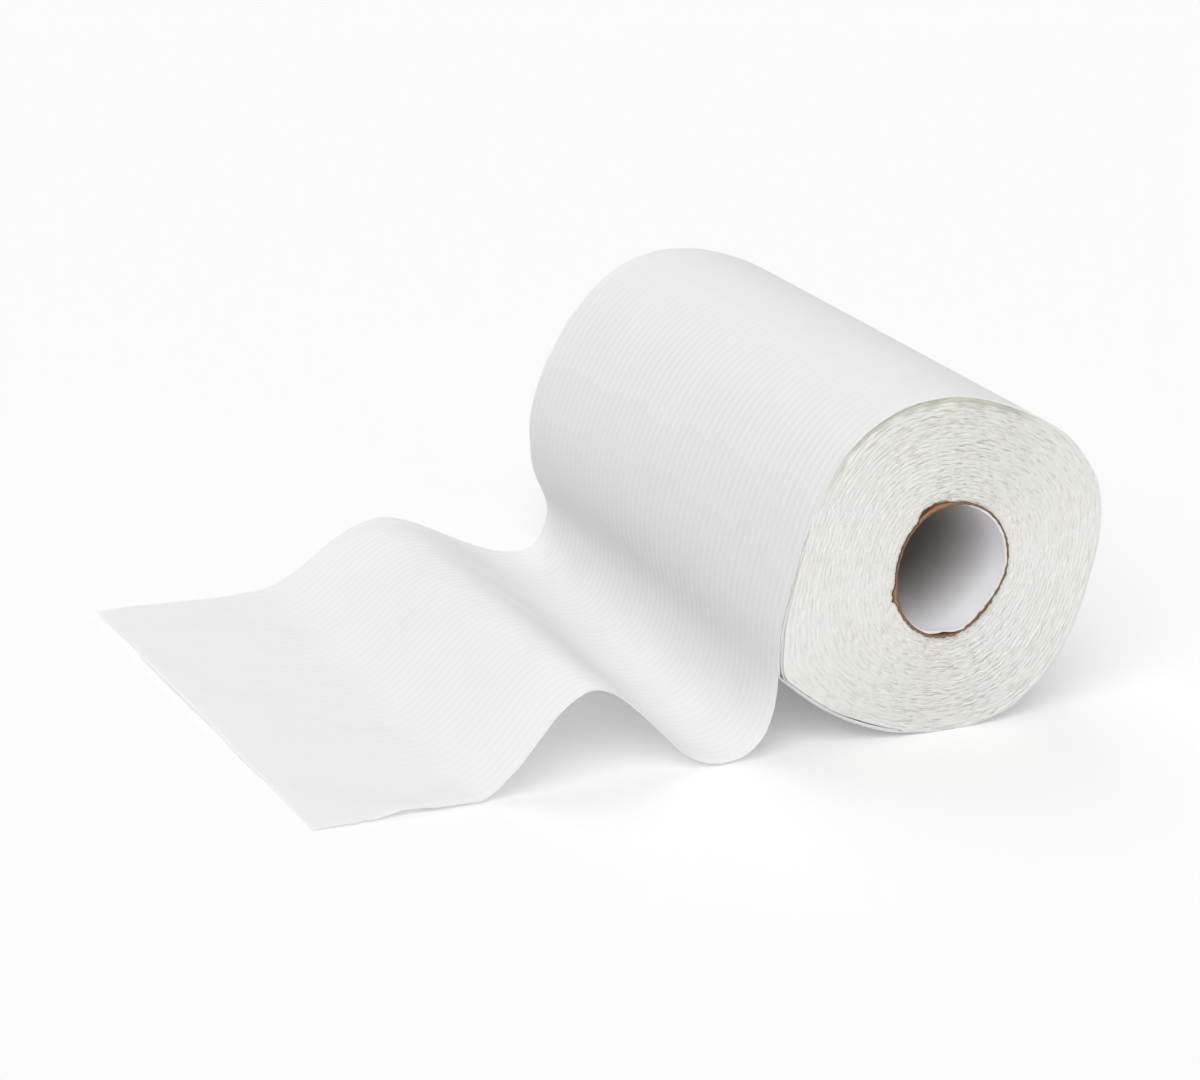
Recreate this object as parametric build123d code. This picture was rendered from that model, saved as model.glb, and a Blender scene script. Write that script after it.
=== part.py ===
from build123d import *
import math
import os
from dataclasses import dataclass

# A paper towel roll lying on its side, with the free end of its sheet run out over the floor.
# X runs from the sheet's cut end to the roll, Y is the roll's axis and Z is up.
# The near end is at -Y. The origin is on the floor under the roll's axis, halfway along its width.

# Sizes of the roll, in millimetres and degrees
roll_width = 200.0
roll_radius = 61.0  # mean radius of the wound paper
corner_bulge = 1.7  # how far the soft roll stands out at its four blunt corners
corner_angle = 33.0  # where the first of those corners is, up from +X
floor_press = 0.5  # how far the roll's weight flattens it on the floor
sheet_thickness = 0.6  # the sheet, over its embossed ribs

# The cardboard core: a kraft ply outside, a white liner ply inside
bore_radius = 22.25
liner_thickness = 0.4
kraft_thickness = 0.5

# The turns that show on both end faces, as one spiral groove
turn_count = 10
facets_per_turn = 28
turn_margin = 1.4  # paper left between the groove and the core, and between it and the rim
groove_width = 0.8
groove_depth = 0.8

# The loose outer turn: it parts from the roll at its lower left and meets it again at its upper left
slack_start_angle = 247.0
slack_join_angle = 165.0
curl_squareness = 2.6  # 2 is an ellipse, and more is squarer, where the sheet turns up to the roll

# How many arcs trace each stretch of the sheet's line
wave_arcs = 20
slack_arcs = 4

# The free sheet at the near end, from the roll outwards
near_slack = 8.0  # how far the loose turn stands off the roll where the sheet leaves it
near_leave_angle = 206.0
near_dip_reach = 20.6
near_dip_lift = 0.2
near_crest_reach = 47.0
near_crest_height = 33.5
near_foot_reach = 39.7
near_flat_reach = 55.5

# The free sheet at the far end, where it is less slack and its hump is lower
far_slack = 2.7
far_leave_angle = 215.0
far_dip_reach = 12.3
far_dip_lift = 3.0
far_crest_reach = 58.0
far_crest_height = 24.0
far_foot_reach = 50.0
far_flat_reach = 60.0

core_radius = bore_radius + liner_thickness + kraft_thickness
half_width = roll_width / 2


@dataclass
class SheetRun:
    """The free sheet's line at one end of the roll, at y."""

    y: float
    slack: float
    leave_angle: float
    dip_reach: float
    dip_lift: float
    crest_reach: float
    crest_height: float
    foot_reach: float
    flat_reach: float


near_run = SheetRun(
    y=-half_width,
    slack=near_slack,
    leave_angle=near_leave_angle,
    dip_reach=near_dip_reach,
    dip_lift=near_dip_lift,
    crest_reach=near_crest_reach,
    crest_height=near_crest_height,
    foot_reach=near_foot_reach,
    flat_reach=near_flat_reach,
)
far_run = SheetRun(
    y=half_width,
    slack=far_slack,
    leave_angle=far_leave_angle,
    dip_reach=far_dip_reach,
    dip_lift=far_dip_lift,
    crest_reach=far_crest_reach,
    crest_height=far_crest_height,
    foot_reach=far_foot_reach,
    flat_reach=far_flat_reach,
)


def rim(angle):
    """Radius of the wound paper, which is slack enough to be a little square."""
    return roll_radius + corner_bulge * math.cos(math.radians(4 * (angle - corner_angle)))


centre_height = rim(270) - floor_press


def polar(angle, radius):
    """The point (x, z) at that angle and distance from the roll's axis."""
    turn = math.radians(angle)
    return radius * math.cos(turn), centre_height + radius * math.sin(turn)


def spread(start, end, steps):
    """Evenly spaced values from start to end, both included."""
    return [start + (end - start) * i / steps for i in range(steps + 1)]


def at(y, points):
    """The points (x, z) in the section at y."""
    return [Vector(x, y, z) for x, z in points]


def direction(first, second):
    """The direction from one point (x, z) to the next, in the plane of a section."""
    return Vector(second[0] - first[0], 0, second[1] - first[1]).normalized()


def smooth(points, start_direction, end_direction):
    """A curve through the points that sets out and ends in the directions given."""
    return Spline(points, tangents=[start_direction, end_direction], tangent_scalars=[1, 1])


def arcs(points):
    """A chain of arcs, each through three of the points."""
    return [ThreePointArc(*points[i : i + 3]) for i in range(0, len(points) - 2, 2)]


def loose_radius(run, angle):
    """Outside of the loose turn above the place where the sheet leaves it."""
    share = (angle - slack_join_angle) / (run.leave_angle - slack_join_angle)
    return rim(angle) + run.slack * share**2


def sagging_radius(run, angle):
    """Outside of the loose turn below the sheet, back to where it touches the roll again."""
    share = (slack_start_angle - angle) / (slack_start_angle - run.leave_angle)
    return rim(angle) + (run.slack - sheet_thickness) * share**3


def eased(start, end, steps):
    """Points from start to end on a slope that is level at both ends, without the first."""
    points = []
    for share in spread(0, 1, steps)[1:]:
        ease = share * share * (3 - 2 * share)
        points.append((start[0] + (end[0] - start[0]) * share, start[1] + (end[1] - start[1]) * ease))
    return points


def curled(start, end, steps):
    """Points of a quarter turn, level at start and upright at end, without the first."""
    power = 2 / curl_squareness
    points = []
    for turn in spread(0, math.pi / 2, steps)[1:]:
        across = math.sin(turn) ** power
        up = 1 - abs(math.cos(turn)) ** power
        points.append((start[0] + (end[0] - start[0]) * across, start[1] + (end[1] - start[1]) * up))
    return points


def section_edges(run):
    """The outline of roll and sheet at one end, as edges in order from the sheet's cut."""
    leave = polar(run.leave_angle, loose_radius(run, run.leave_angle))
    dip = (leave[0] - run.dip_reach, sheet_thickness + run.dip_lift)
    crest = (dip[0] - run.crest_reach, sheet_thickness + run.crest_height)
    foot = (crest[0] - run.foot_reach, sheet_thickness)
    cut = (foot[0] - run.flat_reach, sheet_thickness)
    join = polar(slack_join_angle, rim(slack_join_angle))
    past_join = polar(slack_join_angle - 1, rim(slack_join_angle - 1))

    level = Vector(1, 0, 0)
    onward = direction(join, past_join)

    waves = [foot] + eased(foot, crest, 5) + eased(crest, dip, 5) + curled(dip, leave, 4)
    loose = [polar(a, loose_radius(run, a)) for a in spread(run.leave_angle, slack_join_angle, 4)]
    wound = [polar(a, rim(a)) for a in spread(slack_join_angle, slack_start_angle - 360, 24)]

    sheet = smooth(at(run.y, waves + loose[1:]), level, onward)
    parting = sheet.param_at_point(at(run.y, [leave])[0])
    free_sheet = sheet.trim(0, parting)
    loose_sheet = sheet.trim(parting, 1)
    roll_rim = smooth(at(run.y, wound), onward, direction(wound[-2], wound[-1]))

    # The sheet's underside lies one thickness to the right of its top, going towards the roll
    above = []
    beneath = []
    for share in spread(0, 1, 2 * wave_arcs):
        along = free_sheet % share
        above.append(free_sheet @ share)
        beneath.append(free_sheet @ share + Vector(along.Z, 0, -along.X) * sheet_thickness)
    beneath.reverse()

    beside = [loose_sheet @ share for share in spread(0, 1, 2 * slack_arcs)]
    sagging = [polar(a, sagging_radius(run, a)) for a in spread(slack_start_angle, run.leave_angle, 2 * slack_arcs)]

    cut_top = Vector(cut[0], run.y, cut[1])
    cut_under = Vector(cut[0], run.y, cut[1] - sheet_thickness)
    return [
        Line(cut_under, cut_top),
        Line(cut_top, above[0]),
        *arcs(above),
        *arcs(beside),
        roll_rim,
        *arcs(at(run.y, sagging[:-1]) + [beneath[0]]),
        *arcs(beneath),
        Line(beneath[-1], cut_under),
    ]


def gap_edges(run, y):
    """The gap between the roll and its loose turn, as two chains of arcs between two sharp tips."""
    above = run.leave_angle - slack_join_angle
    below = slack_start_angle - run.leave_angle
    high_tip = slack_join_angle + above * math.sqrt(2 * sheet_thickness / run.slack)
    low_tip = slack_start_angle - below * (sheet_thickness / (run.slack - sheet_thickness)) ** (1 / 3)

    outer = []
    for angle in spread(high_tip, run.leave_angle, slack_arcs):
        outer.append(polar(angle, loose_radius(run, angle) - 2 * sheet_thickness))
    for angle in spread(run.leave_angle, low_tip, slack_arcs)[1:]:
        outer.append(polar(angle, sagging_radius(run, angle) - sheet_thickness))
    inner = [polar(angle, rim(angle)) for angle in spread(low_tip, high_tip, 2 * slack_arcs)]
    inner[0] = outer[-1]
    inner[-1] = outer[0]
    return arcs(at(y, outer)) + arcs(at(y, inner))


def turn_groove(y, inward):
    """One spiral cut between the turns, from beside the core to beside the rim."""
    steps = turn_count * facets_per_turn
    walls = [[], []]
    for i in range(steps + 1):
        angle = slack_start_angle + 360 * turn_count * i / steps
        room = rim(angle) - core_radius - 2 * turn_margin
        radius = core_radius + turn_margin + room * i / steps
        for wall, side in zip(walls, (-1, 1)):
            wall.append(polar(angle, radius + side * groove_width / 2))
    outline = at(y, walls[0] + walls[1][::-1])
    return extrude(Face(Wire(Polyline(outline, close=True))), amount=groove_depth, dir=(0, inward, 0))


def tube(inner_radius, outer_radius, length):
    """A tube on the roll's axis, as long as the roll is wide."""
    ring = Circle(outer_radius) - Circle(inner_radius)
    return Pos(0, 0, centre_height) * Rot(90, 0, 0) * extrude(ring, amount=length / 2, both=True)


def make_web():
    """The whole sheet, wound and free, in one piece."""
    runs = [near_run, far_run]
    web = Solid.make_loft([Wire(section_edges(run)) for run in runs], ruled=True)
    overrun = 1.0
    stretch = 1 + overrun / half_width
    gap = Solid.make_loft([Wire(gap_edges(run, run.y * stretch)) for run in runs], ruled=True)
    below_floor = Pos(0, 0, -roll_radius / 2) * Box(roll_radius, roll_width + 2 * overrun, roll_radius)
    bore = Pos(0, 0, centre_height) * Rot(90, 0, 0) * Cylinder(core_radius, roll_width + 2 * overrun)
    grooves = [turn_groove(-half_width, 1), turn_groove(half_width, -1)]
    return Part() + web - [gap, below_floor, bore] - grooves


parts = {
    "towel_web": make_web(),
    "core_outer_ply": tube(bore_radius + liner_thickness, core_radius, roll_width),
    "core_inner_ply": tube(bore_radius, bore_radius + liner_thickness, roll_width),
}

os.makedirs("parts", exist_ok=True)
for name, part in parts.items():
    part.label = name
    export_step(part, f"parts/{name}.step")
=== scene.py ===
import bmesh
import bpy
import math
import numpy as np
from mathutils import Matrix


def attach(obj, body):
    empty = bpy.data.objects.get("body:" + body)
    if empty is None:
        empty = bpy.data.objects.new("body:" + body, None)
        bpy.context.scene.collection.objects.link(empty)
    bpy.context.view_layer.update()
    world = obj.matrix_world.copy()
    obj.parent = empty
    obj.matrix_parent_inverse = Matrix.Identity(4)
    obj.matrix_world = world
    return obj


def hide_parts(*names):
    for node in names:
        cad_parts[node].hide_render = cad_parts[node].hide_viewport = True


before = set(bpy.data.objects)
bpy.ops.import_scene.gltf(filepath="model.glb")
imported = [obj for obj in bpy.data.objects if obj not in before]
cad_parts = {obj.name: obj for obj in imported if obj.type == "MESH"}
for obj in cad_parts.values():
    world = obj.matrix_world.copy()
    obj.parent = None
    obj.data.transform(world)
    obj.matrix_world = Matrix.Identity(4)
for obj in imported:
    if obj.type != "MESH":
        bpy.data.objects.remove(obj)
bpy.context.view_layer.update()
print("frame loaded:", sorted(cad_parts))

mm = 0.001  # sizes below are in millimetres, meshes are in metres

# the roll lies along Y with its near end at -Y, and X runs from the sheet's cut end to the roll
# angles go round its axis in degrees: 0 is +X, 90 is up, and the sheet comes away near 206
roll = {
    "width": 200.0,
    "radius": 61.0,  # mean radius of the wound paper
    "cornerBulge": 1.7,  # it is slack enough to be a little square
    "cornerAngle": 33.0,
    "floorPress": 0.5,
    "coreRadius": 23.15,  # outside of the cardboard core
    "kraftInside": 22.65,
    "boreRadius": 22.25,
    "layer": 0.6,  # one turn of the sheet over its ribs
    "joinAngle": 165.0,  # the loose turn lies on the roll again from here on
    "slackAngle": 247.0,  # and parts from it here
    "softFrom": (28.0, 60.0),  # radii over which the softness of the rim sets in
    "softTo": (70.0, 90.0),  # and over which it ends on the loose paper
}
halfWidth = roll["width"] / 2


def rim(angle):
    return roll["radius"] + roll["cornerBulge"] * np.cos(np.radians(4 * (angle - roll["cornerAngle"])))


centreHeight = rim(270.0) - roll["floorPress"]


def polar(angle, radius):
    turn = np.radians(angle)
    return np.stack([radius * np.cos(turn), centreHeight + radius * np.sin(turn)], axis=-1)


# smooth random values, of about unit size

def ringNoise(angle, seed, lowest, highest):
    dice = np.random.default_rng(seed)
    total = np.zeros_like(angle, dtype=float)
    for harmonic in range(lowest, highest + 1):
        total += dice.normal() * np.cos(np.radians(harmonic * angle) + dice.uniform(0, 2 * math.pi))
    return total / math.sqrt((highest - lowest + 1) / 2)


def planeNoise(x, y, seed, shortest, longest, waves=14):
    dice = np.random.default_rng(seed)
    total = 0.0
    for _ in range(waves):
        way = dice.uniform(0, 2 * math.pi)
        length = dice.uniform(shortest, longest)
        phase = dice.uniform(0, 2 * math.pi)
        total = total + np.cos(2 * math.pi * (x * math.cos(way) + y * math.sin(way)) / length + phase)
    return total / math.sqrt(waves / 2)


def lineNoise(along, seed, shortest, longest, waves=10):
    return planeNoise(along, 0 * along, seed, shortest, longest, waves)


def smoothStep(low, high, value):
    share = np.clip((value - low) / (high - low), 0, 1)
    return share * share * (3 - 2 * share)


def bump(value, middle, halfSpan):
    return np.exp(-(((value - middle) / halfSpan) ** 2))


def ringBump(angle, middle, halfSpan):
    return bump((angle - middle + 180) % 360 - 180, 0, halfSpan)


def window(value, start, stop, fade):
    # 1 between start and stop, eased down to 0 over the fade inside each
    return smoothStep(start, start + fade, value) * (1 - smoothStep(stop - fade, stop, value))


def ringCurve(angle, stops, blur=8):
    # values given at a few angles, joined smoothly round the ring
    angles, values = zip(*stops)
    shifts = range(-blur, blur + 1, 2)
    return sum(np.interp(angle + shift, angles, values, period=360) for shift in shifts) / len(shifts)


# how the softness of the roll changes its rim at each end: (angle, shift)
nearShift = [
    (3, 0.4), (17, 0.6), (24, 0.3), (32, -0.9), (42, -1.3), (54, -1.8), (62, -1.6), (73, -0.5),
    (82, 0.4), (95, 1.1), (112, 1.0), (124, 0.9), (145, 0.0), (330, 0.0), (349, -0.3),
]
farShift = [
    (62, 0.0), (91, 0.8), (107, 0.1), (124, -1.4), (134, -2.0), (151, -1.2), (167, 1.0),
    (182, 2.4), (197, 0.3), (209, 0.0), (330, 0.0),
]


def outOfRound(points):
    away = points[:, [0, 2]] - (0, centreHeight)
    radius = np.hypot(away[:, 0], away[:, 1])
    angle = np.degrees(np.arctan2(away[:, 1], away[:, 0])) % 360
    share = np.clip(points[:, 1] / roll["width"] + 0.5, 0, 1)
    shift = ringCurve(angle, nearShift, 4) * (1 - share) + ringCurve(angle, farShift, 4) * share
    shift = shift * smoothStep(*roll["softFrom"], radius) * (1 - smoothStep(*roll["softTo"], radius))
    moved = points.copy()
    moved[:, [0, 2]] += away * (shift / radius)[:, None]
    return moved


# meshes

creaseAngle = 40.0  # an edge that turns by more degrees than this stays sharp


def quads(first, second, third, fourth):
    return np.stack([first, second, third, fourth], axis=-1).reshape(-1, 4).tolist()


def makePiece(name, points, faces, values, material):
    points = outOfRound(points)
    mesh = bpy.data.meshes.new(name)
    mesh.from_pydata((points * mm).tolist(), [], faces)
    shell = bmesh.new()
    shell.from_mesh(mesh)
    bmesh.ops.recalc_face_normals(shell, faces=shell.faces)
    shell.to_mesh(mesh)
    shell.free()
    for label, numbers in values.items():
        kind, field = ("FLOAT", "value") if numbers.ndim == 1 else ("FLOAT_VECTOR", "vector")
        data = mesh.attributes.new(label, kind, "POINT").data
        data.foreach_set(field, numbers.astype(np.float32).ravel())
    mesh.shade_smooth()
    mesh.set_sharp_from_angle(angle=math.radians(creaseAngle))
    mesh.materials.append(material)
    piece = bpy.data.objects.new(name, mesh)
    bpy.context.scene.collection.objects.link(piece)
    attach(piece, "root")
    print(name, "has", sum(len(face) - 2 for face in faces), "triangles")
    return piece


def makeRing(name, angle, rows, values, material):
    # each row is a ring of (radius, Y) values, and the last row joins the first
    radii = np.array([row[0] + 0 * angle for row in rows])
    depth = np.array([row[1] + 0 * angle for row in rows])
    place = polar(angle[None, :], radii)
    points = np.stack([place[..., 0], depth, place[..., 1]], axis=-1).reshape(-1, 3)
    index = np.arange(len(rows) * len(angle)).reshape(len(rows), len(angle))
    beside = np.roll(index, -1, axis=1)
    faces = quads(index, np.roll(index, -1, axis=0), np.roll(beside, -1, axis=0), beside)
    return makePiece(name, points, faces, values, material)


def splineThrough(points, startWay, endWay, perSpan):
    # a smooth curve through the points, leaving and arriving in the directions given
    points = np.asarray(points)
    gaps = np.hypot(*np.diff(points, axis=0).T)
    slopes = np.diff(points, axis=0) / gaps[:, None]
    count = len(points)
    matrix = np.eye(count)
    target = np.zeros((count, 2))
    target[0] = startWay
    target[-1] = endWay
    for i in range(1, count - 1):
        before = gaps[i - 1]
        after = gaps[i]
        matrix[i, i - 1 : i + 2] = after, 2 * (before + after), before
        target[i] = 3 * (after * slopes[i - 1] + before * slopes[i])
    ways = np.linalg.solve(matrix, target)
    share = np.linspace(0, 1, perSpan, endpoint=False)[:, None]
    curve = []
    for i in range(count - 1):
        curve.append(
            (1 + 2 * share) * (1 - share) ** 2 * points[i]
            + share * (1 - share) ** 2 * gaps[i] * ways[i]
            + share**2 * (3 - 2 * share) * points[i + 1]
            + share**2 * (share - 1) * gaps[i] * ways[i + 1]
        )
    return np.concatenate(curve + [points[-1:]])


# the camera, at the photograph's viewing angle

camera = {
    "place": (-546.4, -913.9, 414.5),
    "yaw": 27.014,  # degrees from +Y towards +X
    "pitch": 19.816,  # degrees below the horizon
    "tilt": 2.768,
    "lens": 92.86,
    "sensor": 36.0,
}


def addCamera():
    yaw, pitch, tilt = (math.radians(camera[key]) for key in ("yaw", "pitch", "tilt"))
    flatAhead = np.array([math.sin(yaw), math.cos(yaw), 0.0])
    ahead = math.cos(pitch) * flatAhead - math.sin(pitch) * np.array([0.0, 0.0, 1.0])
    level = np.array([math.cos(yaw), -math.sin(yaw), 0.0])
    upright = np.cross(level, ahead)
    right = math.cos(tilt) * level + math.sin(tilt) * upright
    up = math.cos(tilt) * upright - math.sin(tilt) * level
    data = bpy.data.cameras.new("camera")
    data.lens = camera["lens"]
    data.sensor_width = camera["sensor"]
    eye = bpy.data.objects.new("camera", data)
    turn = Matrix([right, up, -ahead]).transposed().to_4x4()
    eye.matrix_world = Matrix.Translation([c * mm for c in camera["place"]]) @ turn
    bpy.context.scene.collection.objects.link(eye)
    bpy.context.scene.camera = eye
    print("camera set")


addCamera()

# shader nodes

def addNode(tree, kind, inputs=None, **settings):
    node = tree.nodes.new(kind)
    for key, value in settings.items():
        setattr(node, key, value)
    for key, value in (inputs or {}).items():
        if isinstance(value, bpy.types.NodeSocket):
            tree.links.new(value, node.inputs[key])
        else:
            node.inputs[key].default_value = value
    return node


def mathNode(tree, operation, first, second):
    return addNode(tree, "ShaderNodeMath", {0: first, 1: second}, operation=operation).outputs[0]


def vectorNode(tree, operation, first, second=(0, 0, 0)):
    return addNode(tree, "ShaderNodeVectorMath", {0: first, 1: second}, operation=operation).outputs[0]


def mixColour(tree, factor, first, second):
    return addNode(tree, "ShaderNodeMix", {0: factor, 6: first, 7: second}, data_type="RGBA").outputs[2]


def noise(tree, place, scale, detail, roughness):
    inputs = {"Vector": place, "Scale": scale, "Detail": detail, "Roughness": roughness}
    return addNode(tree, "ShaderNodeTexNoise", inputs).outputs[0]


def spread(tree, value, low, high, newLow=0.0, newHigh=1.0):
    inputs = {"Value": value, "From Min": low, "From Max": high, "To Min": newLow, "To Max": newHigh}
    return addNode(tree, "ShaderNodeMapRange", inputs, clamp=True).outputs["Result"]


def newGroup(name, inputs, outputs):
    # every group takes a place and some numbers, and puts out numbers
    tree = bpy.data.node_groups.new(name, "ShaderNodeTree")
    tree.interface.new_socket("Place", in_out="INPUT", socket_type="NodeSocketVector")
    for label, value in inputs.items():
        socket = tree.interface.new_socket(label, in_out="INPUT", socket_type="NodeSocketFloat")
        socket.default_value = value
    for label in outputs:
        tree.interface.new_socket(label, in_out="OUTPUT", socket_type="NodeSocketFloat")
    return tree, tree.nodes.new("NodeGroupInput"), tree.nodes.new("NodeGroupOutput")


def putOut(tree, result, values):
    for label, value in values.items():
        tree.links.new(value, result.inputs[label])


def placeGroup(tree, group, inputs):
    return addNode(tree, "ShaderNodeGroup", inputs, node_tree=group)


def newMaterial(name, roughness, gloss):
    material = bpy.data.materials.new(name)
    material.use_nodes = True
    tree = material.node_tree
    tree.nodes.clear()
    look = {"Roughness": roughness, "Specular IOR Level": gloss}
    shader = addNode(tree, "ShaderNodeBsdfPrincipled", look)
    addNode(tree, "ShaderNodeOutputMaterial", {"Surface": shader.outputs["BSDF"]})
    return material, tree, shader


# the grain that all the paper and board share, with the scale, detail and roughness of its noises
grainLook = {
    "crepe": (3.0, 0.55),  # its scale comes from the crepe spacing
    "fibre": (1.9, 4.0, 0.65),
    "cloud": (0.055, 3.0, 0.6),
    "fleck": (0.7, 5.0, 0.7),
    "crepeStretch": (1.0, 0.16, 1.0),  # the creping lines run along Y
    "fibreStretch": (0.45, 1.0, 1.0),
    "cloudRange": (0.3, 0.7),
    "fleckRange": (0.58, 0.75),
}


def paperGrainGroup():
    # creping lines, felt-like fibres, soft clouds and dark flecks, from a place in millimetres
    inputs = {"Crepe Depth": 0.03, "Fibre Depth": 0.02, "Crepe Spacing": 1.1}
    tree, given, result = newGroup("paperGrain", inputs, ("Height", "Cloud", "Fleck"))
    place = given.outputs["Place"]
    crepePlace = vectorNode(tree, "MULTIPLY", place, grainLook["crepeStretch"])
    crepeScale = mathNode(tree, "DIVIDE", 1.0, given.outputs["Crepe Spacing"])
    crepe = noise(tree, crepePlace, crepeScale, *grainLook["crepe"])
    fibrePlace = vectorNode(tree, "MULTIPLY", place, grainLook["fibreStretch"])
    fibre = noise(tree, fibrePlace, *grainLook["fibre"])
    cloud = noise(tree, place, *grainLook["cloud"])
    fleck = noise(tree, place, *grainLook["fleck"])
    crepeHeight = mathNode(tree, "MULTIPLY", crepe, given.outputs["Crepe Depth"])
    fibreHeight = mathNode(tree, "MULTIPLY", fibre, given.outputs["Fibre Depth"])
    values = {
        "Height": mathNode(tree, "ADD", crepeHeight, fibreHeight),
        "Cloud": spread(tree, cloud, *grainLook["cloudRange"]),
        "Fleck": spread(tree, fleck, *grainLook["fleckRange"]),
    }
    putOut(tree, result, values)
    return tree


paperGrain = paperGrainGroup()


def objectPlace(tree):
    place = tree.nodes.new("ShaderNodeTexCoord").outputs["Object"]
    return vectorNode(tree, "MULTIPLY", place, (1 / mm, 1 / mm, 1 / mm))


def attribute(tree, name, field="Fac"):
    return addNode(tree, "ShaderNodeAttribute", attribute_name=name).outputs[field]


def paint(tree, shader, colour, layers, height):
    # each layer is a mask and the colour that it lays over those before it
    for mask, over in layers:
        colour = mixColour(tree, mask, colour, over)
    tree.links.new(colour, shader.inputs["Base Color"])
    inputs = {"Strength": 1.0, "Distance": mm, "Height": height}
    tree.links.new(addNode(tree, "ShaderNodeBump", inputs).outputs[0], shader.inputs["Normal"])
    return colour


# the sheet: free, then once round the outside of the roll, then loose again under its own free end

sheet = {
    "ribCount": 52,
    "ribDepth": 0.25,
    "ribSharpness": 1.6,
    "ribWander": 0.3,
    "ribsAtCut": 0.1,  # strength of the ribs, which are pressed flat near the cut end
    # and how they come up along the sheet: (part, share, from and to, counted from the part's end)
    "ribGrowth": [("cut", 0.4, 18.0, 80.0), ("wave", 0.1, -40.0, 10.0), ("loose", 0.4, -20.0, 50.0)],
    "smoothTop": 0.72,  # how much flatter the ribs are pressed on top of the roll
    "smoothAngles": (140.0, 112.0, 20.0, -20.0),
    "paper": 0.25,  # without its ribs
    "hem": (3.0, 1.0),  # a wound edge thickens to a whole turn between these distances from the side
    "turnGap": 0.02,
    "columnsPerRib": 8,
    "seenStep": 2,  # the underside has every second column where it is seen
    "hiddenSpans": 16,  # and this many spans across where it isn't
    "undersideShift": 7.0,  # gives the underside its own grain
    "curlSquareness": 2.6,
    "cutRows": 2.0,  # lengths from the cut with the closest rows
    "tornRows": 20.0,
    # how far apart the rows are, part by part
    "rowSteps": {
        "cut": 0.5, "torn": 1.6, "flat": 2.9, "wave": 2.6, "loose": 4.2, "round": 5.3,
        "sagging": 4.5, "tucked": 5.0,
    },
    "colour": (0.982, 0.984, 0.982, 1),
    "shade": (0.965, 0.97, 0.968, 1),
    # painted shade: the rib valleys are coloured darker, as shade falls in them
    "valleyShadeColour": (0.93, 0.933, 0.927, 1),
    # painted highlight: the paper is coloured brighter near its cut and side edges, over this width
    "edgeHighlight": (1, 1, 0.995, 1),
    "edgeWidth": 0.5,
    "roughness": 0.92,
    "gloss": 0.25,
    "lightThrough": 0.3,  # share of the light that each face of the paper passes on
    "grain": {"Crepe Depth": 0.06, "Fibre Depth": 0.03},
    "near": {
        "slack": 8.0, "leaveAngle": 206.0, "dipReach": 20.6, "dipLift": 0.2,
        "crestReach": 47.0, "crestHeight": 33.5, "footReach": 39.7, "flatReach": 55.5,
    },
    "far": {
        "slack": 2.7, "leaveAngle": 215.0, "dipReach": 12.3, "dipLift": 3.0,
        "crestReach": 58.0, "crestHeight": 24.0, "footReach": 50.0, "flatReach": 60.0,
    },
}


def looseRadius(end, angle):
    share = (angle - roll["joinAngle"]) / (end["leaveAngle"] - roll["joinAngle"])
    return rim(angle) + end["slack"] * share**2


def saggingRadius(end, angle):
    share = (roll["slackAngle"] - angle) / (roll["slackAngle"] - end["leaveAngle"])
    return rim(angle) + (end["slack"] - roll["layer"]) * share**3


def slope(start, finish, steps):
    share = np.linspace(0, 1, steps + 1)[1:]
    across = start[0] + (finish[0] - start[0]) * share
    return list(zip(across, start[1] + (finish[1] - start[1]) * smoothStep(0, 1, share)))


def curl(start, finish, steps):
    power = 2 / sheet["curlSquareness"]
    turn = np.linspace(0, math.pi / 2, steps + 1)[1:]
    across = start[0] + (finish[0] - start[0]) * np.sin(turn) ** power
    return list(zip(across, start[1] + (finish[1] - start[1]) * (1 - np.abs(np.cos(turn)) ** power)))


def sheetLine(end):
    # the sheet's outer side at one end of the roll, from its cut to where it is tucked in
    layer = roll["layer"]
    join = roll["joinAngle"]
    leaveAngle = end["leaveAngle"]
    leave = polar(leaveAngle, looseRadius(end, leaveAngle))
    dip = (leave[0] - end["dipReach"], layer + end["dipLift"])
    crest = (dip[0] - end["crestReach"], layer + end["crestHeight"])
    foot = (crest[0] - end["footReach"], layer)
    cut = (foot[0] - end["flatReach"], layer)

    wavePoints = [foot] + slope(foot, crest, 5) + slope(crest, dip, 5) + curl(dip, leave, 4)
    angles = np.linspace(leaveAngle, join, 5)[1:]
    loosePoints = list(polar(angles, looseRadius(end, angles)))
    onward = polar(join - 1, rim(join - 1)) - polar(join, rim(join))
    spanSteps = 40
    curve = splineThrough(wavePoints + loosePoints, (1, 0), onward / np.hypot(*onward), spanSteps)
    leaveStep = (len(wavePoints) - 1) * spanSteps

    wound = np.linspace(join, roll["slackAngle"] - 360, 400)[1:]
    sagging = np.linspace(roll["slackAngle"], leaveAngle, 80)[1:]
    tucked = np.linspace(leaveAngle, join, 80)[1:]
    return {
        "flat": np.linspace(cut, foot, 60, endpoint=False),
        "wave": curve[:leaveStep],
        "loose": curve[leaveStep:],
        "round": polar(wound, rim(wound)),
        "sagging": polar(sagging, saggingRadius(end, sagging)),
        "tucked": polar(tucked, looseRadius(end, tucked) - layer),
    }


def leftOf(line):
    # the direction square to the line, on the side of the paper's outer face
    way = np.gradient(line, axis=0)
    way /= np.hypot(way[:, 0], way[:, 1])[:, None]
    return np.stack([-way[:, 1], way[:, 0]], axis=-1)


def alongLine(near, far):
    steps = (np.hypot(*np.diff(near, axis=0).T) + np.hypot(*np.diff(far, axis=0).T)) / 2
    return np.concatenate([[0], np.cumsum(steps)])


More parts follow.
